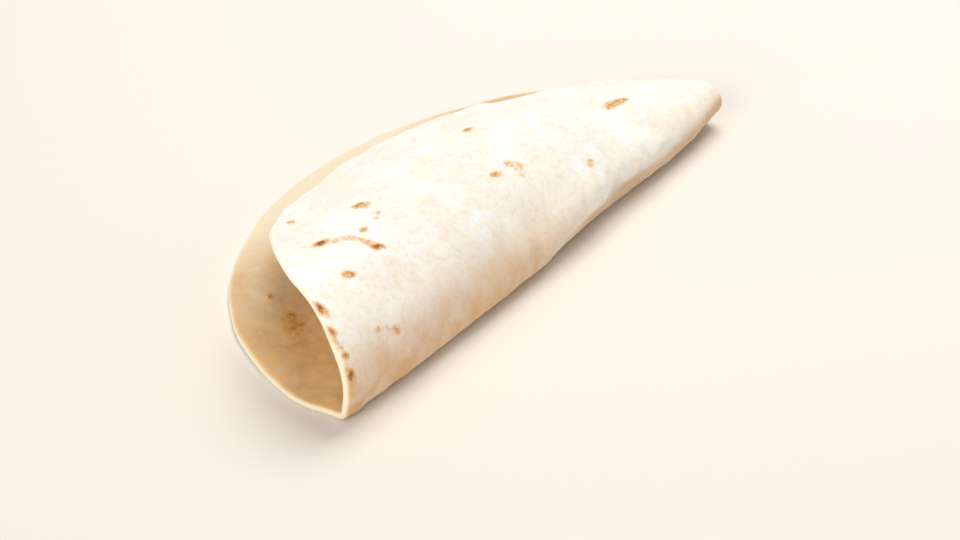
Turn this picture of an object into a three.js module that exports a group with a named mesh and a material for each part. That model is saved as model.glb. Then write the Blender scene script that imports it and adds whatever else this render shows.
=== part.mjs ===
// Piadina: one thin round flatbread, folded over along a line near its middle and left to rest.
// Millimetres, +Z up. +X runs along the fold, +Y points from the fold to the open side.
// The loaf is worked out flat, as a disc of the points (x, s), and each point is then carried onto the
// bent sheet: s above 0 lies in the lower layer, s below 0 lies past the fold line, in the flap.
import * as THREE from "three";

// Overall sizes
const DIAMETER = 250; // the flat loaf, before it is folded
const THICKNESS = 3; // rolled and baked, the same all over
const RIM_WAVE = 1.6; // how far the hand-rolled rim strays from a true circle

// The fold. A list of three is the value at the left end, in the middle and at the right end.
const FOLD_OFFSET = 11.5; // from the middle of the loaf to the fold line: the flap is the larger part
const FOLD_RADIUS = [2.5, 8.75, 9.4]; // how tightly the sheet turns over
const FIRST_TURN = [71, 133.5, 188.5]; // degrees turned in the fold itself
const TIGHTEST = 0.8; // no fold is tighter than this many thicknesses
const FINAL_TURN = [210, 212, 203]; // degrees turned once the flap has sagged
const SAG_LENGTH = 43; // length of flap over which it sags
const REST_GAP = 0.5; // air between the flap and the lower layer where it comes to rest
const LANDING = 1.5; // height over which a falling flap levels out as it comes to rest
const END_LIFT = 4; // how far the right end stands clear of the table
const LIFT_FROM = 0.4; // where it begins to rise, as a share of the way from the middle to the right end
const BACK_CURL = 6.5; // how far the lower layer curls up at the right end, CURL_REACH behind the fold line
const CURL_REACH = 60;

// Fineness of the surface
const FOLD_ROW = 3.2; // row spacing across the fold
const FLAT_ROW = 8.5; // row spacing elsewhere
const COLUMNS = 28;
const WALK = 0.5; // step length along the flap
const NEARBY = 0.6; // distance between the points that give the surface's slope

const R = DIAMETER / 2;
const HALF = THICKNESS / 2;

const clamp = (v, low, high) => Math.min(Math.max(v, low), high);
const radians = THREE.MathUtils.degToRad;

// The smooth curve through a value at each end (u = -1 and 1) and one in the middle (u = 0)
function along([left, middle, right], u) {
  return middle + (u * (right - left)) / 2 + u * u * ((left + right) / 2 - middle);
}

// Distance from the middle of the flat loaf to its rim, in the direction of the angle a
const rim = (a) => R + RIM_WAVE * Math.sin(3 * a);

const lift = (u) => END_LIFT * Math.max((u - LIFT_FROM) / (1 - LIFT_FROM), 0) ** 3;

// How far the lower layer is curled up at a distance y behind the fold line
const curl = (u, y) => (BACK_CURL * Math.max(u, 0) ** 4 * Math.max(y, 0)) / CURL_REACH;

// The angle the sheet has turned through at a length `past` beyond the fold line
function turned(u, past) {
  const radius = Math.max(along(FOLD_RADIUS, u), TIGHTEST * THICKNESS);
  const bend = Math.PI * radius;
  const t = clamp(past / bend, 0, 1);
  const first = radians(along(FIRST_TURN, u));
  const last = radians(along(FINAL_TURN, u));
  const sag = 1 - Math.exp(-((Math.max(past - bend, 0) / SAG_LENGTH) ** 1.5));
  return first * t * t * (3 - 2 * t) + (last - first) * sag;
}

// The middle of the sheet's thickness at the point (x, s) of the flat loaf
function middle(x, s) {
  const u = x / R;
  if (s >= 0) return new THREE.Vector3(x, s, HALF + lift(u) + curl(u, s));
  const steps = Math.ceil(-s / WALK);
  const step = -s / steps;
  let y = 0;
  let z = 0;
  for (let i = 0; i < steps; i++) {
    const angle = turned(u, (i + 0.5) * step);
    const rest = THICKNESS + REST_GAP + curl(u, y);
    let rise = Math.sin(angle) * step;
    if (rise < 0) rise *= 1 - Math.exp(-Math.max(z - rest, 0) / LANDING);
    y -= Math.sign(Math.cos(angle)) * Math.sqrt(step * step - rise * rise);
    z += rise;
    if (y > 0 && Math.cos(angle) < 0) z = Math.max(z, rest);
  }
  return new THREE.Vector3(x, y, z + HALF + lift(u));
}

// Unit vector square to the sheet, pointing to the face that is inside the fold
function inward(x, s) {
  const before = s >= 0 ? s : s - NEARBY; // keeps the flat layer flat right up to the fold line
  const acrossX = middle(x + NEARBY, s).sub(middle(x - NEARBY, s));
  const acrossS = middle(x, s + NEARBY).sub(middle(x, before));
  return acrossX.cross(acrossS).normalize();
}

// Grid lines across the fold: close together over the fold, wider apart on the flat
function rowLines() {
  const top = (FOLD_OFFSET + FOLD_ROW) / R;
  const bottom = (FOLD_OFFSET - FOLD_ROW - Math.PI * Math.max(...FOLD_RADIUS)) / R;
  const fine = Math.round(((top - bottom) * R) / FOLD_ROW);
  const above = Math.round(((1 - top) * R) / FLAT_ROW);
  const below = Math.round(((1 + bottom) * R) / FLAT_ROW);
  const lines = [];
  for (let i = 0; i < below; i++) lines.push(-1 + ((1 + bottom) * i) / below);
  for (let i = 0; i < fine; i++) lines.push(bottom + ((top - bottom) * i) / fine);
  for (let i = 0; i <= above; i++) lines.push(top + ((1 - top) * i) / above);
  return lines;
}

function piadinaGeometry() {
  const rows = rowLines();
  const columns = Array.from({ length: COLUMNS + 1 }, (_, i) => -1 + (2 * i) / COLUMNS);
  const positions = [];
  const triangles = [];

  // A vertex at the grid point (a, b) of the square laid over the disc, `inset` from the rim,
  // `out` from the middle of the thickness: positive on the inner face, negative on the outer.
  function vertex(a, b, inset, out) {
    let x = a * Math.sqrt(1 - (b * b) / 2);
    let s = b * Math.sqrt(1 - (a * a) / 2);
    const far = rim(Math.atan2(s, x)) - inset;
    x *= far;
    s = s * far - FOLD_OFFSET;
    const p = middle(x, s).addScaledVector(inward(x, s), out);
    positions.push(p.x, p.y, p.z);
    return positions.length / 3 - 1;
  }

  const face = (out) => rows.map((b) => columns.map((a) => vertex(a, b, HALF, out)));
  const faces = [face(HALF), face(-HALF)];

  // Both faces, each square cut along the diagonal that points away from the middle of the loaf
  faces.forEach((grid, k) => {
    for (let j = 0; j + 1 < rows.length; j++) {
      for (let i = 0; i < COLUMNS; i++) {
        const [p, q, r, t] = [grid[j][i], grid[j][i + 1], grid[j + 1][i + 1], grid[j + 1][i]];
        const outwards = (columns[i] + columns[i + 1]) * (rows[j] + rows[j + 1]) >= 0;
        const pair = outwards ? [p, q, r, p, r, t] : [p, q, t, q, r, t];
        triangles.push(...(k === 0 ? pair : pair.reverse()));
      }
    }
  });

  // Once round the rim, anticlockwise seen from the inner face
  const last = rows.length - 1;
  const round = [];
  for (let i = 0; i < COLUMNS; i++) round.push([i, 0]);
  for (let j = 0; j < last; j++) round.push([COLUMNS, j]);
  for (let i = COLUMNS; i > 0; i--) round.push([i, last]);
  for (let j = last; j > 0; j--) round.push([0, j]);

  // The rounded edge: rings from the inner face, over the rim, to the outer face
  const rings = [round.map(([i, j]) => faces[0][j][i])];
  for (const turn of [45, 90, 135].map(radians)) {
    const inset = HALF * (1 - Math.sin(turn));
    rings.push(round.map(([i, j]) => vertex(columns[i], rows[j], inset, HALF * Math.cos(turn))));
  }
  rings.push(round.map(([i, j]) => faces[1][j][i]));
  for (let k = 0; k + 1 < rings.length; k++) {
    round.forEach((_, n) => {
      const m = (n + 1) % round.length;
      const [p, q, r, t] = [rings[k][n], rings[k][m], rings[k + 1][m], rings[k + 1][n]];
      triangles.push(p, t, r, p, r, q);
    });
  }

  const geometry = new THREE.BufferGeometry();
  geometry.setAttribute("position", new THREE.Float32BufferAttribute(positions, 3));
  geometry.setIndex(triangles);

  // Underside on the table, middle of the outline over the origin
  geometry.computeBoundingBox();
  const box = geometry.boundingBox;
  geometry.translate(-(box.min.x + box.max.x) / 2, -(box.min.y + box.max.y) / 2, -box.min.z);
  geometry.computeVertexNormals();
  return geometry;
}

const bread = new THREE.MeshStandardMaterial({ color: 0xe9dcc0, roughness: 0.85, side: THREE.FrontSide });

const piadina = new THREE.Mesh(piadinaGeometry(), bread);
piadina.name = "piadina";

const root = new THREE.Group();
root.name = "folded_piadina";
root.add(piadina);

export default root;
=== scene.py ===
"""A folded piadina on a pale table: one thin round flatbread, baked on a hot plate and folded over.

The sheet is worked out flat first, as a disc of the points (x, s), then carried onto the fold: x runs
along the fold and s across it, with the fold at s = 0, the flap below 0 and the lower layer above. The
same flat coordinates drive its blisters, its toast marks and its colour, so every pattern follows the
bread. Lengths in the tables below are millimetres; Blender's own units are metres.
"""

import math

import bpy
import numpy as np
from mathutils import Matrix, Vector


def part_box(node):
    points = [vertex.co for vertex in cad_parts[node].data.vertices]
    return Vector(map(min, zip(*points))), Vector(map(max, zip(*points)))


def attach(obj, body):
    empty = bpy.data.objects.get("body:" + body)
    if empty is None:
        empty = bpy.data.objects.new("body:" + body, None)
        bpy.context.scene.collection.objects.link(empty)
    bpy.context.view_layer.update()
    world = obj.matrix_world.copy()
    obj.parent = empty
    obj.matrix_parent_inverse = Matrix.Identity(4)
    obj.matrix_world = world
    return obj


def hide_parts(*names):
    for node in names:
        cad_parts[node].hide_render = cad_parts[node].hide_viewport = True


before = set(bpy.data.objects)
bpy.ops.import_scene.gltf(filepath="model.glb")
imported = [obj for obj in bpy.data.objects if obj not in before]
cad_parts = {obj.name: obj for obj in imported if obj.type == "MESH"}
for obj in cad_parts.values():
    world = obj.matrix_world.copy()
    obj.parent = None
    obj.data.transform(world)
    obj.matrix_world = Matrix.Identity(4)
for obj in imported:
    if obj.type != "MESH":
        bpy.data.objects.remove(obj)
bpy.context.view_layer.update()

MM = 0.001

# The flat bread
RADIUS = 125.0
THICKNESS = 3.0
RIM_WAVE = 1.6  # how far the hand-rolled rim strays from a true circle, in three lobes
RIM_NICKS = 0.45  # finer unevenness of the rim
RIM_FADE = 2.5  # length over which what belongs to the rim fades away inside it

# The fold. A list of three is the value at the left end, in the middle and at the right end.
FOLD_OFFSET = 11.5  # from the middle of the bread to the fold line: the flap is the larger part
FOLD_RADIUS = [2.5, 8.75, 9.4]
TIGHTEST = 0.8  # no fold is tighter than this many thicknesses
FIRST_TURN = [71.0, 133.5, 188.5]  # degrees turned in the fold itself
FINAL_TURN = [210.0, 212.0, 203.0]  # degrees turned once the flap has sagged
SAG_LENGTH = 43.0
REST_GAP = 0.5  # air between the flap and the lower layer where it comes to rest
LANDING = 1.5  # height over which the falling flap levels out
END_LIFT = 4.0  # how far the right end stands clear of the table
LIFT_FROM = 0.4  # where it begins to rise, as a share of the way from the middle to the right end
BACK_CURL = 6.5  # how far the lower layer curls up at the right end, CURL_REACH behind the fold line
CURL_REACH = 60.0
WALK_STEPS = 220  # steps in which each point is carried round the fold
SLOPE_STEP = 0.6  # distance between the points that give the surface's slope

# The pinch: a flat facet along the back of the fold, where fingers pressed it
PINCH_AT = 32.0
PINCH_LENGTH = 34.0
PINCH_DEPTH = 0.75
PINCH_CREASE = 0.42  # share of the fold's length that each of its two creases takes up

# A wrinkled lip runs along the right half of the fold, where the outer skin cracked as it was bent
LIP_AT = 48.0
LIP_REACH = 34.0
LIP_FROM_FOLD = 19.5
LIP_WIDTH = 1.5
LIP_HEIGHT = 0.9

# The rim is rubbed back a little at the left end of the fold
TIP_DIRECTION = 174.7  # degrees round the flat bread
TIP_TRIM = 2.4
TIP_REACH = 5.0  # degrees

# Slow swells of the baked sheet: length, direction in degrees, phase, height
RIPPLES = [
    (61, 20, 0.3, 0.40),
    (43, 75, 1.9, 0.34),
    (52, 128, 4.1, 0.30),
    (31, 48, 2.6, 0.20),
    (27, 160, 5.2, 0.16),
    (23, 100, 0.9, 0.12),
]
FLAT_SWELL = 0.25  # share of them in the lower layer, which the table holds flat
LEAST_ROOM = 0.1  # share of swell and relief where the flap lies on the lower layer
FULL_ROOM = 8.0  # height of the flap above its resting place at which both are whole

# Fineness of the mesh: rows across the fold and columns along it
ROWS = 206
COLUMNS = 214
EDGE_ROUND = [22.5, 45, 67.5, 90, 112.5, 135, 157.5]  # degrees round the rim

# Where the plate scorched the outside of the flap: x, s, length, width, direction in degrees, strength
OUTER_MARKS = [
    (-58, -78, 5.6, 4.2, 20, 1.2),
    (-59, -69, 2.4, 1.8, 0, 0.75),
    (-63, -67, 2.4, 1.6, 40, 0.65),
    (-72, -66, 3.4, 2.2, 10, 0.8),
    (-72, -102, 8.0, 2.8, 120, 0.8),
    (-87, -73, 5.6, 3.4, 25, 1.15),
    (-83, -70, 8.0, 3.4, 20, 0.6),
    (-79, -66, 5.6, 3.6, 60, 0.64),
    (-77, -61, 7.0, 3.4, 75, 0.6),
    (-76, -57, 4.8, 2.8, 30, 1.05),
    (-96, -54, 4.2, 2.6, 20, 1.15),
    (-117, -50, 7.5, 3.4, 78, 1.15),
    (-120, -41, 5.0, 2.6, 80, 0.9),
    (-121, -36, 4.4, 2.4, 70, 0.85),
    (-120, -31, 3.0, 2.2, 60, 0.8),
    (-121, -23.5, 7.0, 3.2, 85, 0.95),
    (-122, -17, 3.0, 2.2, 60, 0.65),
    (-103, -33, 3.2, 2.4, 0, 0.6),
    (-95, -29, 4.2, 3.0, 30, 0.72),
    (-98, -31, 3.0, 2.2, 80, 0.5),
    (20, -81, 5.0, 3.4, 10, 0.82),
    (-4, -52.5, 5.0, 2.6, 15, 0.85),
    (7, -51, 8.0, 5.5, 60, 0.6),
    (5, -46, 5.0, 3.0, 20, 0.45),
    (36, -32, 4.4, 3.0, 0, 0.62),
    (-34, -48, 4.0, 2.4, 20, 0.5),
    (-2, -32, 2.6, 1.8, 0, 0.48),
    (-37, -28, 3.4, 2.2, 0, 0.45),
    (86, -48.5, 11.0, 5.0, 12, 0.85),
    (91, -47.5, 5.0, 3.4, 30, 1.05),
    (80, -48.5, 4.0, 2.2, 0, 0.7),
    (-92, -77, 6.0, 1.4, 60, 0.42),
]
# The same for the inside of the lower layer, seen through the open end
INNER_MARKS = [
    (-79, 66, 4.2, 3.0, 30, 0.85),
    (-79, 56, 2.6, 2.0, 0, 0.6),
    (-88, 45, 15.0, 10.0, 50, 0.7),
    (-84, 51, 7.0, 5.0, 70, 0.72),
    (-97, 38, 12.0, 7.0, 20, 0.56),
    (-96, 25, 9.0, 6.0, 60, 0.4),
]
RANDOM_MARKS = 95  # smaller ones scattered over each face by themselves
MARK_SEED = 41

# The raised relief: broad low blisters, small bubbles, and the swelling under a toast mark
RELIEF = {
    "Blister width": 17.0,
    "Blister height": 1.5,
    "Bubble width": 5.5,
    "Bubble height": 0.55,
    "Scorch height": 0.35,
}

# Where the skin's tones and its painted light and shade change across the sheet, as s, and along it, as x:
# from where to where
PAINTED_BOUNCE_TO_SHADE_INSIDE = (30, 80)
PAINTED_SHADE_TO_PALE_INSIDE = (82, 104)
BACK_OF_FOLD_FROM = (-40, -12)
BACK_OF_FOLD_TO = (12, 34)
# The darker strip just under the lip is painted shadow; LIP_HALF_FROM gives where along x it runs
PAINTED_SHADOW_UNDER_LIP = (-18.8, -14.5)
BROWN_HALF_TO = (-20, 30)  # along x: the back of the fold is brown to the left of this
LIP_HALF_FROM = (-5, 25)  # along x: the lip runs to the right of this

# The view: where the camera is, what it looks at, and how far it leans
CAMERA_AZIMUTH = -51.94
CAMERA_ELEVATION = 33.49
CAMERA_DISTANCE = 913.4
CAMERA_LEAN = -3.74
CAMERA_TARGET = (-18.42, -37.36, 0.0)
LENS = 88.46
SENSOR = 36.0


# ---------------------------------------------------------------- small tools


def linear(hex_colour):
    """An sRGB hex colour as the linear RGBA that Blender's sockets want."""
    channels = [int(hex_colour[i : i + 2], 16) / 255 for i in (1, 3, 5)]
    return tuple(c / 12.92 if c <= 0.04045 else ((c + 0.055) / 1.055) ** 2.4 for c in channels) + (1.0,)


def add(tree, kind, inputs=None, **settings):
    """Adds a node, applies its settings, then fills or links its inputs by name or number."""
    node = tree.nodes.new(kind)
    for key, value in settings.items():
        setattr(node, key, value)
    for key, value in (inputs or {}).items():
        if isinstance(value, bpy.types.NodeSocket):
            tree.links.new(value, node.inputs[key])
        else:
            node.inputs[key].default_value = value
    return node


# ---------------------------------------------------------------- the folded sheet


def along(ends_and_middle, u):
    """The smooth curve through a value at each end (u = -1 and 1) and one in the middle."""
    left, middle_value, right = ends_and_middle
    return middle_value + u * (right - left) / 2 + u * u * ((left + right) / 2 - middle_value)


def smooth(t):
    t = np.clip(t, 0, 1)
    return t * t * (3 - 2 * t)


def lift(u):
    return END_LIFT * np.maximum((u - LIFT_FROM) / (1 - LIFT_FROM), 0) ** 3


def curl(u, y):
    """How far the lower layer is curled up at a distance y behind the fold line."""
    return BACK_CURL * np.maximum(u, 0) ** 4 * np.maximum(y, 0) / CURL_REACH


def turned(u, past):
    """The angle, in radians, the sheet has turned through at a length `past` beyond the fold line."""
    radius = np.maximum(along(FOLD_RADIUS, u), TIGHTEST * THICKNESS)
    bend = np.pi * radius
    t = past / bend
    pinch = PINCH_DEPTH * np.exp(-(((u * RADIUS - PINCH_AT) / PINCH_LENGTH) ** 2))
    near_crease = smooth(t / PINCH_CREASE)
    far_crease = smooth((t - 1 + PINCH_CREASE) / PINCH_CREASE)
    two_creases = 0.5 * near_crease + 0.5 * far_crease
    roll = (1 - pinch) * smooth(t) + pinch * two_creases
    first = np.radians(along(FIRST_TURN, u))
    last = np.radians(along(FINAL_TURN, u))
    sag = 1 - np.exp(-((np.maximum(past - bend, 0) / SAG_LENGTH) ** 1.5))
    return first * roll + (last - first) * sag


def waves(x, s):
    """Slow swells of the baked sheet, in millimetres, from a few crossing ripples."""
    height = np.zeros_like(x)
    for length, direction, phase, size in RIPPLES:
        a = math.radians(direction)
        height += size * np.sin(2 * np.pi * (x * math.cos(a) + s * math.sin(a)) / length + phase)
    return height


def lip(x, s):
    """Height of the wrinkled lip along the fold, with the shallow groove under it."""
    w = (s + LIP_FROM_FOLD + 1.2 * np.sin(x / 5.3) + 0.8 * np.sin(x / 2.9)) / LIP_WIDTH
    reach = np.exp(-(((x - LIP_AT) / LIP_REACH) ** 2))
    return LIP_HEIGHT * reach * (np.exp(-(w**2)) - 0.6 * np.exp(-((w - 1.7) ** 2)))


def middle(x, s):
    """The middle of the sheet's thickness at the point (x, s) of the flat bread."""
    u = x / RADIUS
    step = np.maximum(-s, 0) / WALK_STEPS
    y = np.where(s >= 0, s, 0.0)
    z = np.zeros_like(y)
    for i in range(WALK_STEPS):
        angle = turned(u, (i + 0.5) * step)
        rest = THICKNESS + REST_GAP + curl(u, y)
        rise = np.sin(angle) * step
        rise = np.where(rise < 0, rise * (1 - np.exp(-np.maximum(z - rest, 0) / LANDING)), rise)
        y = y - np.sign(np.cos(angle)) * np.sqrt(np.maximum(step * step - rise * rise, 0))
        z = z + rise
        resting = (s < 0) & (y > 0) & (np.cos(angle) < 0)
        z = np.where(resting, np.maximum(z, rest), z)
    z = np.where(s < 0, z, curl(u, y))
    return np.stack([x, y, z + THICKNESS / 2 + lift(u)], axis=-1)


def inward(x, s):
    """Unit vectors square to the sheet, pointing to the face that is inside the fold."""
    before = np.where(s >= 0, s, s - SLOPE_STEP)
    across_x = middle(x + SLOPE_STEP, s) - middle(x - SLOPE_STEP, s)
    across_s = middle(x, s + SLOPE_STEP) - middle(x, before)
    normal = np.cross(across_x, across_s)
    return normal / np.linalg.norm(normal, axis=-1, keepdims=True)


def rim(angle):
    """Distance from the middle of the flat bread to its rim, in a direction."""
    nicks = np.sin(11 * angle + 0.7) + 0.7 * np.sin(17 * angle + 2.1) + 0.5 * np.sin(29 * angle + 4.0)
    from_tip = (np.degrees(angle) % 360 - TIP_DIRECTION) / TIP_REACH
    uneven = RIM_WAVE * np.sin(3 * angle) + RIM_NICKS * nicks / 2
    return RADIUS + uneven - TIP_TRIM * np.exp(-(from_tip**2))


def room_above(height, x):
    """How free the flap is to swell at a height: whole when it is well clear of where it would rest."""
    above = height - lift(x / RADIUS) - 1.5 * THICKNESS - REST_GAP
    return np.clip(above / FULL_ROOM, LEAST_ROOM, 1)


def grid_lines(count):
    return np.linspace(-1, 1, count + 1)


def sheet_surface(a, b, inset, out):
    """Points of the bread at places (a, b) of a square that is laid over the disc, `inset` from the rim
    and `out` from the middle of the thickness. Gives the places and the flat coordinates (x, s)."""
    x = a * np.sqrt(1 - b * b / 2)
    s = b * np.sqrt(1 - a * a / 2)
    far = rim(np.arctan2(s, x)) - inset
    x, s = x * far, s * far - FOLD_OFFSET
    points = middle(x, s)
    normal = inward(x, s)
    clear = room_above(points[..., 2], x)
    swell = waves(x, s) * np.where(s < 0, clear, FLAT_SWELL) + lip(x, s)
    return points + normal * (out - swell)[..., None], np.stack([x, s], axis=-1)


def bread_mesh():
    """The whole closed sheet: two faces and a rounded rim, with its flat coordinates as attributes."""
    half = THICKNESS / 2
    b, a = np.meshgrid(grid_lines(ROWS), grid_lines(COLUMNS), indexing="ij")
    shape = a.shape
    points, flats, sides = [], [], []

    def collect(a_values, b_values, inset, out):
        start = sum(len(p) for p in points)
        out_all = np.full(a_values.size, out)
        place, flat = sheet_surface(a_values.ravel(), b_values.ravel(), inset, out_all)
        points.append(place)
        flats.append(flat)
        sides.append(np.full(len(place), out / half))
        return start + np.arange(len(place))

    faces = []
    inner = collect(a, b, half, half).reshape(shape)
    outer = collect(a, b, half, -half).reshape(shape)
    for grid, is_inner in ((inner, True), (outer, False)):
        corners = [grid[:-1, :-1], grid[:-1, 1:], grid[1:, 1:], grid[1:, :-1]]
        quads = np.stack([c.ravel() for c in corners], axis=-1)
        faces.append(quads if is_inner else quads[:, ::-1])

    # once round the rim, anticlockwise seen from the inner face
    rows = [0] * COLUMNS + list(range(ROWS)) + [ROWS] * COLUMNS + list(range(ROWS, 0, -1))
    columns = list(range(COLUMNS)) + [COLUMNS] * ROWS + list(range(COLUMNS, 0, -1)) + [0] * ROWS
    rings = [inner[rows, columns]]
    for degrees in EDGE_ROUND:
        turn = math.radians(degrees)
        inset = half * (1 - math.sin(turn))
        rings.append(collect(a[rows, columns], b[rows, columns], inset, half * math.cos(turn)))
    rings.append(outer[rows, columns])
    for upper, lower in zip(rings, rings[1:]):
        quads = [upper, lower, np.roll(lower, -1), np.roll(upper, -1)]
        faces.append(np.stack(quads, axis=-1))

    places = np.concatenate(points)
    places[:, 2] = np.maximum(places[:, 2], 0)
    node_low, node_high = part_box("piadina")
    low, high = places.min(axis=0), places.max(axis=0)
    places[:, 0] += (node_low[0] + node_high[0]) / 2 / MM - (low[0] + high[0]) / 2
    places[:, 1] += (node_low[1] + node_high[1]) / 2 / MM - (low[1] + high[1]) / 2
    mesh = bpy.data.meshes.new("piadina sheet")
    mesh.from_pydata((places * MM).tolist(), [], np.concatenate(faces).tolist())
    flat = np.concatenate(flats)
    side = np.concatenate(sides)
    store(mesh, "flat", np.column_stack([flat * MM, side * THICKNESS / 2 * MM]))
    store(mesh, "toast", toast(flat, side))
    store(mesh, "rim_near", rim_nearness(flat))
    store(mesh, "side", side)
    store(mesh, "room", room_for_relief(flat, side, places[:, 2]))
    mesh.shade_smooth()
    mesh.update()
    return mesh


def inner_share(side):
    """0 on the outer face, 1 on the inner one, and between the two round the rim."""
    return np.clip(side * 0.5 + 0.5, 0, 1)


def room_for_relief(flat, side, height):
    """How far each point may rise, as a share: the faces that meet inside the fold stay almost smooth, so
    that the flap and the lower layer don't grow into each other."""
    x, s = flat[:, 0], flat[:, 1]
    under_flap = LEAST_ROOM + (1 - LEAST_ROOM) * smooth((-40 - x) / 30)
    inside = np.where(s < 0, room_above(height, x), under_flap)
    return 1 - inner_share(side) * (1 - inside)


def store(mesh, name, values):
    """Keeps a number or a vector for each vertex."""
    if values.ndim == 1:
        layer = mesh.attributes.new(name, "FLOAT", "POINT")
        layer.data.foreach_set("value", values.astype(np.float32))
    else:
        layer = mesh.attributes.new(name, "FLOAT_VECTOR", "POINT")
        layer.data.foreach_set("vector", values.astype(np.float32).ravel())


def rim_nearness(flat):
    """1 on the rim, fading over a few millimetres inside it."""
    x, s = flat[:, 0], flat[:, 1] + FOLD_OFFSET
    from_rim = rim(np.arctan2(s, x)) - np.hypot(x, s)
    return np.exp(-np.maximum(from_rim, 0) / RIM_FADE)


# ---------------------------------------------------------------- toast marks


def scattered_marks(seed):
    """Small marks spread at random: many faint freckles and a few larger scorches."""
    draw = np.random.default_rng(seed)
    marks = []
    while len(marks) < RANDOM_MARKS:
        x, s = draw.uniform(-RADIUS, RADIUS, 2)
        if math.hypot(x, s) > RADIUS - 3:
            continue
        length = draw.gamma(3.0, 0.9) + 1.2
        strength = draw.uniform(0.35, 0.75) + 0.06 * length
        width = length * draw.uniform(0.45, 0.8)
        direction = draw.uniform(0, 180)
        marks.append((x, s - FOLD_OFFSET, length, width, direction, strength))
    return marks


def mark_field(flat, marks):
    """How strongly each point is toasted: the strongest of the marks that reach it."""
    field = np.zeros(len(flat))
    for x, s, length, width, direction, strength in marks:
        a = math.radians(direction)
        dx, ds = flat[:, 0] - x, flat[:, 1] - s
        lengthwise = (dx * math.cos(a) + ds * math.sin(a)) / (length / 2)
        crosswise = (ds * math.cos(a) - dx * math.sin(a)) / (width / 2)
        reach = strength * np.exp(-0.55 * (lengthwise**2 + crosswise**2))
        field = np.maximum(field, reach)
    return field


def toast(flat, side):
    """The toast on each face. Scattered marks keep clear of the parts whose marks are listed: the
    flap and the back of the fold outside, and the wide open end and the back strip inside."""
    outside = [mark for mark in scattered_marks(MARK_SEED) if mark[1] > 12]
    inside = [mark for mark in scattered_marks(MARK_SEED + 1) if mark[0] > -5 and mark[1] < 90]
    outer = mark_field(flat, OUTER_MARKS + outside)
    inner = mark_field(flat, INNER_MARKS + inside)
    blend = inner_share(side)
    return outer * (1 - blend) + inner * blend


# ---------------------------------------------------------------- blisters, as geometry nodes


def blister_tree(material):
    """Raises the baked relief along the surface: broad low blisters, small bubbles, and the swelling
    under each toast mark, where the dough stood up against the hot plate."""
    tree = bpy.data.node_groups.new("Baked relief", "GeometryNodeTree")
    face = tree.interface
    face.new_socket("Geometry", in_out="INPUT", socket_type="NodeSocketGeometry")
    for name in RELIEF:
        face.new_socket(name, in_out="INPUT", socket_type="NodeSocketFloat")
    face.new_socket("Geometry", in_out="OUTPUT", socket_type="NodeSocketGeometry")
    given = add(tree, "NodeGroupInput").outputs

    def stored(name, data_type="FLOAT"):
        return add(tree, "GeometryNodeInputNamedAttribute", {"Name": name}, data_type=data_type).outputs[0]

    flat = stored("flat", "FLOAT_VECTOR")
    toasted, near_rim, room = stored("toast"), stored("rim_near"), stored("room")

    def maths(operation, *values, clamp=False):
        inputs = dict(enumerate(values))
        return add(tree, "ShaderNodeMath", inputs, operation=operation, use_clamp=clamp).outputs[0]

    def domes(width, threshold, seed):
        """Rounded bumps of about one width, standing alone where the noise rises above a threshold."""
        scale = maths("DIVIDE", 1.0, width)
        inputs = {"Vector": flat, "Scale": scale, "W": seed, "Detail": 1.0, "Roughness": 0.4}
        noise = add(tree, "ShaderNodeTexNoise", inputs, noise_dimensions="4D").outputs[0]
        above = maths("SUBTRACT", noise, threshold)
        rise = maths("MULTIPLY", above, 1 / (1 - threshold), clamp=True)
        return maths("POWER", rise, 0.8)

    broad = maths("MULTIPLY", domes(given["Blister width"], 0.5, 3.0), given["Blister height"])
    small = maths("MULTIPLY", domes(given["Bubble width"], 0.54, 11.0), given["Bubble height"])
    scorch = maths("MULTIPLY", toasted, given["Scorch height"])
    height = maths("ADD", maths("ADD", broad, small), scorch)
    held = maths("SUBTRACT", 1.0, maths("MULTIPLY", near_rim, 0.9))
    height = maths("MULTIPLY", maths("MULTIPLY", height, held), room)

    normal = add(tree, "GeometryNodeInputNormal").outputs[0]
    offset = add(tree, "ShaderNodeVectorMath", {0: normal, "Scale": height}, operation="SCALE").outputs[0]
    raised = add(tree, "GeometryNodeSetPosition", {"Geometry": given["Geometry"], "Offset": offset})
    real = add(tree, "GeometryNodeRealizeInstances", {"Geometry": raised.outputs[0]})
    dressed = add(tree, "GeometryNodeSetMaterial", {"Geometry": real.outputs[0], "Material": material})
    add(tree, "NodeGroupOutput", {"Geometry": dressed.outputs[0]})
    return tree


def raise_relief(rough, material):
    """Applies the relief and gives the finished piece as a plain mesh."""
    tree = blister_tree(material)
    modifier = rough.modifiers.new("Baked relief", "NODES")
    modifier.node_group = tree
    for item in tree.interface.items_tree:
        if item.in_out == "INPUT" and item.name in RELIEF:
            modifier[item.identifier] = RELIEF[item.name] * MM
    shaped = rough.evaluated_get(bpy.context.evaluated_depsgraph_get())
    mesh = bpy.data.meshes.new_from_object(shaped)
    bpy.data.objects.remove(rough)
    places = np.empty(len(mesh.vertices) * 3, dtype=np.float32)
    mesh.vertices.foreach_get("co", places)
    places = places.reshape(-1, 3)
    places[:, 2] = np.maximum(places[:, 2], 0)  # the underside lies on the table
    mesh.vertices.foreach_set("co", places.ravel())
    mesh.shade_smooth()
    mesh.update()
    return mesh


# ---------------------------------------------------------------- materials


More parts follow.
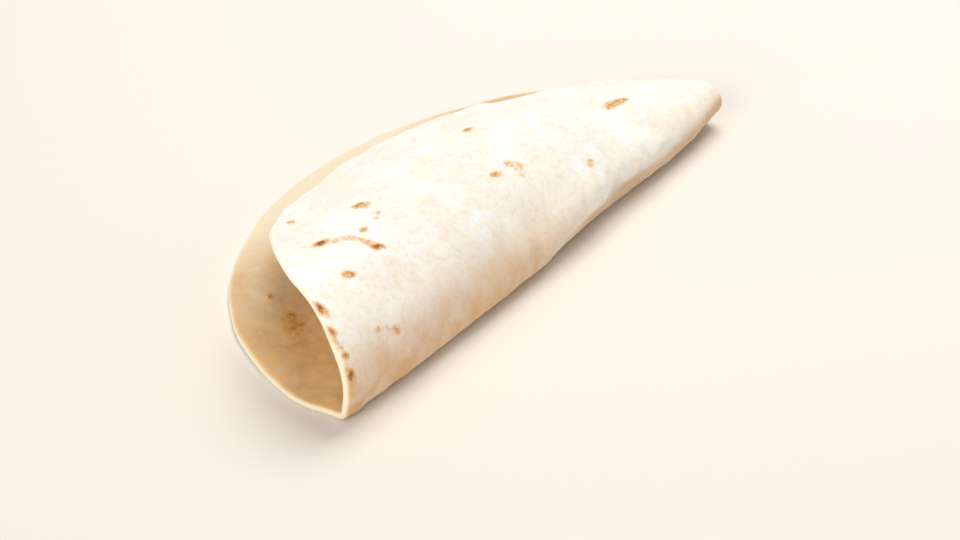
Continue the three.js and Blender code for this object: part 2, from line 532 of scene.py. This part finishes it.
def baked_dough():
    """Piadina dough: wheat flour and lard, rolled thin and baked dry on a hot plate. It reads as a matt,
    faintly translucent cream skin with a floury bloom and fine pores, and brown in scorches where blisters
    met the plate. Its colour also holds painted light: warm bounce light and shade on the inner face, and
    painted shade on the back of the fold and under its lip."""
    material = bpy.data.materials.new("Baked piadina dough")
    material.use_nodes = True
    tree = material.node_tree
    tree.nodes.clear()

    def stored(name, output="Fac"):
        return add(tree, "ShaderNodeAttribute", attribute_name=name).outputs[output]

    flat = stored("flat", "Vector")
    toasted, near_rim, side = stored("toast"), stored("rim_near"), stored("side")
    parted = add(tree, "ShaderNodeSeparateXYZ", {"Vector": flat})
    along_fold, across_fold = parted.outputs["X"], parted.outputs["Y"]

    def maths(operation, *values):
        return add(tree, "ShaderNodeMath", dict(enumerate(values)), operation=operation).outputs[0]

    def product(first, *others):
        for value in others:
            first = maths("MULTIPLY", first, value)
        return first

    def noise(size, detail=4.0, roughness=0.6):
        """Noise whose patches are about `size` millimetres wide."""
        inputs = {"Vector": flat, "Scale": 1 / (size * MM), "Detail": detail, "Roughness": roughness}
        return add(tree, "ShaderNodeTexNoise", inputs).outputs[0]

    def between(value, low, high, to_low=0.0, to_high=1.0):
        """A smooth change from one level to another as a value passes from low to high."""
        inputs = {"Value": value, "From Min": low, "From Max": high, "To Min": to_low, "To Max": to_high}
        return add(tree, "ShaderNodeMapRange", inputs, interpolation_type="SMOOTHSTEP").outputs[0]

    def over(place, lengths, to_low=0.0, to_high=1.0):
        """The same over a stretch of the sheet given in millimetres."""
        return between(place, lengths[0] * MM, lengths[1] * MM, to_low, to_high)

    def mix(amount, first, second):
        inputs = {"Factor": amount, 6: first, 7: second}
        return add(tree, "ShaderNodeMix", inputs, data_type="RGBA").outputs[2]

    cream, floury, oily = linear("#f8efe6"), linear("#fcf8f3"), linear("#f0e4d0")
    tan, amber = linear("#e3c79a"), linear("#dca75c")
    brown, scorched = linear("#a86a2a"), linear("#6e421c")

    # the skin: cream, floury where the dusting stayed, faintly yellow where the fat came through
    skin = mix(between(noise(26, roughness=0.55), 0.42, 0.62), cream, floury)
    skin = mix(between(noise(9), 0.55, 0.75, 0, 0.55), skin, oily)
    skin = mix(between(noise(2.2, 3), 0.45, 0.7, 0, 0.28), skin, tan)

    # the inner face: painted warm bounce light and shade, a saturated gold deep in the fold turning to a
    # darker tan painted shade further out, then pale far from the fold, with random darker and paler
    # patches
    inside = between(side, -0.2, 0.6)
    outside = maths("SUBTRACT", 1.0, inside)
    painted_inner_bounce_and_shade = mix(over(across_fold, PAINTED_BOUNCE_TO_SHADE_INSIDE), linear("#efc280"), linear("#cfb78e"))
    painted_inner_bounce_and_shade = mix(between(noise(12), 0.4, 0.7, 0, 0.5), painted_inner_bounce_and_shade, linear("#cf9f62"))
    painted_inner_bounce_and_shade = mix(between(noise(7), 0.5, 0.75, 0, 0.4), painted_inner_bounce_and_shade, linear("#ead9bb"))
    painted_inner_bounce_and_shade = mix(over(across_fold, PAINTED_SHADE_TO_PALE_INSIDE, 0, 0.8), painted_inner_bounce_and_shade, linear("#eee0c6"))
    skin = mix(maths("MULTIPLY", inside, 0.92), skin, painted_inner_bounce_and_shade)

    # the back of the fold is browner, partly toast and partly painted shade and warm bounce light on the
    # roll's shaded side, most in its left half
    onto_fold = over(across_fold, BACK_OF_FOLD_FROM)
    off_fold = over(across_fold, BACK_OF_FOLD_TO, 1.0, 0.0)
    patchy = between(noise(11), 0.3, 0.7, 0.55, 0.92)
    brown_half = over(along_fold, BROWN_HALF_TO, 1.0, 0.15)
    skin = mix(product(onto_fold, off_fold, patchy, outside, brown_half), skin, linear("#d9ad74"))
    # a darker strip under the wrinkled lip, on the right half of the fold, is painted shadow
    lip_half = over(along_fold, LIP_HALF_FROM, 0, 0.65)
    painted_shadow_under_lip = product(over(across_fold, PAINTED_SHADOW_UNDER_LIP), off_fold, outside, lip_half)
    skin = mix(painted_shadow_under_lip, skin, linear("#cfa068"))

    # toast: a soft amber halo, a ragged brown patch, and a dark heart in the strongest ones
    ragged = between(noise(2.4, 3), 0.3, 0.7, 0.5, 1.25)
    heat = maths("MULTIPLY", toasted, ragged)
    skin = mix(between(toasted, 0.1, 0.5, 0, 0.25), skin, tan)
    skin = mix(between(heat, 0.2, 0.55, 0, 0.8), skin, amber)
    skin = mix(between(heat, 0.5, 0.9, 0, 0.85), skin, brown)
    skin = mix(between(heat, 0.84, 1.15, 0, 0.8), skin, scorched)

    # the rim all round is pale: it never lay on the plate
    off_face = between(maths("ABSOLUTE", side), 0.55, 0.97, 1.0, 0.0)
    edge = maths("MAXIMUM", off_face, between(near_rim, 0.5, 1.0, 0, 0.55))
    skin = mix(maths("MULTIPLY", edge, 0.8), skin, linear("#f3e6cf"))

    # fine pores and a floury grain, too small for the mesh
    grain = maths("MULTIPLY", noise(0.9, 3), 0.6)
    pores = maths("ADD", grain, noise(3.2, 2, 0.5))
    bump = add(tree, "ShaderNodeBump", {"Height": pores, "Distance": 0.35 * MM, "Strength": 0.45})

    inputs = {
        "Base Color": skin,
        "Roughness": between(noise(9), 0.3, 0.75, 0.86, 0.68),
        "IOR": 1.42,
        "Specular IOR Level": 0.35,
        "Subsurface Weight": 0.6,
        "Subsurface Radius": (0.006, 0.0035, 0.0018),
        "Subsurface Scale": 1.0,
        "Normal": bump.outputs[0],
    }
    shader = add(tree, "ShaderNodeBsdfPrincipled", inputs)
    add(tree, "ShaderNodeOutputMaterial", {"Surface": shader.outputs[0]})
    return material


def table_top():
    """Matt white laminate: a flat, pale, faintly warm surface with a barely visible tooth."""
    material = bpy.data.materials.new("Matt white laminate")
    material.use_nodes = True
    tree = material.node_tree
    tree.nodes.clear()
    place = add(tree, "ShaderNodeTexCoord").outputs["Object"]
    tooth = add(tree, "ShaderNodeTexNoise", {"Vector": place, "Scale": 900.0, "Detail": 2.0}).outputs[0]
    bump = add(tree, "ShaderNodeBump", {"Height": tooth, "Distance": 0.05 * MM, "Strength": 0.3})
    inputs = {"Base Color": linear("#ebe7e0"), "Roughness": 0.7, "Normal": bump.outputs[0]}
    shader = add(tree, "ShaderNodeBsdfPrincipled", inputs)
    add(tree, "ShaderNodeOutputMaterial", {"Surface": shader.outputs[0]})
    return material


# ---------------------------------------------------------------- pieces, table, light and camera


def new_object(name, data):
    made = bpy.data.objects.new(name, data)
    bpy.context.scene.collection.objects.link(made)
    return made


def make_piadina():
    dough = baked_dough()
    rough = new_object("rolled sheet", bread_mesh())
    return new_object("folded_piadina", raise_relief(rough, dough))


def make_table():
    reach = 3.0  # metres from the middle to each edge
    mesh = bpy.data.meshes.new("table top")
    corners = [(-reach, -reach, 0), (reach, -reach, 0), (reach, reach, 0), (-reach, reach, 0)]
    mesh.from_pydata(corners, [], [(0, 1, 2, 3)])
    table = new_object("table_top", mesh)
    mesh.materials.append(table_top())


def towards(azimuth, elevation):
    """The unit vector from the bread to a place round it: azimuth 0 is in front and 90 on the right."""
    a, e = math.radians(azimuth), math.radians(elevation)
    return Vector((math.sin(a) * math.cos(e), -math.cos(a) * math.cos(e), math.sin(e)))


def add_lamp(name, azimuth, elevation, distance, size, power, colour):
    """A square soft box aimed at the bread from a direction round it. Distance and size are in metres."""
    back = towards(azimuth, elevation)
    lamp = bpy.data.lights.new(name, "AREA")
    lamp.shape, lamp.size, lamp.energy = "SQUARE", size, power
    lamp.color = linear(colour)[:3]
    made = new_object(name, lamp)
    made.location = back * distance
    made.rotation_euler = (-back).to_track_quat("-Z", "Y").to_euler()


def light_the_table():
    add_lamp("window", 98, 62, 1.4, 0.9, 14.5, "#fffaf6")
    add_lamp("fill", -85, 22, 2.2, 1.6, 30, "#fffaf4")
    world = bpy.data.worlds.new("white room")
    bpy.context.scene.world = world
    world.use_nodes = True
    sky = world.node_tree.nodes["Background"]
    sky.inputs["Color"].default_value = linear("#fffdfa")
    sky.inputs["Strength"].default_value = 0.42


def place_camera():
    back = towards(CAMERA_AZIMUTH, CAMERA_ELEVATION)
    data = bpy.data.cameras.new("view")
    data.lens, data.sensor_width = LENS, SENSOR
    data.clip_start, data.clip_end = 0.01, 20.0
    camera = new_object("view", data)
    target = Vector(CAMERA_TARGET) * MM
    aim = (-back).to_track_quat("-Z", "Y").to_matrix().to_4x4()
    leaned = aim @ Matrix.Rotation(math.radians(CAMERA_LEAN), 4, "Z")
    camera.matrix_world = Matrix.Translation(target + back * CAMERA_DISTANCE * MM) @ leaned
    bpy.context.scene.camera = camera


piadina = make_piadina()
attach(piadina, "root")
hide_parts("piadina")
make_table()
light_the_table()
place_camera()
bpy.context.scene.view_settings.view_transform = "Standard"
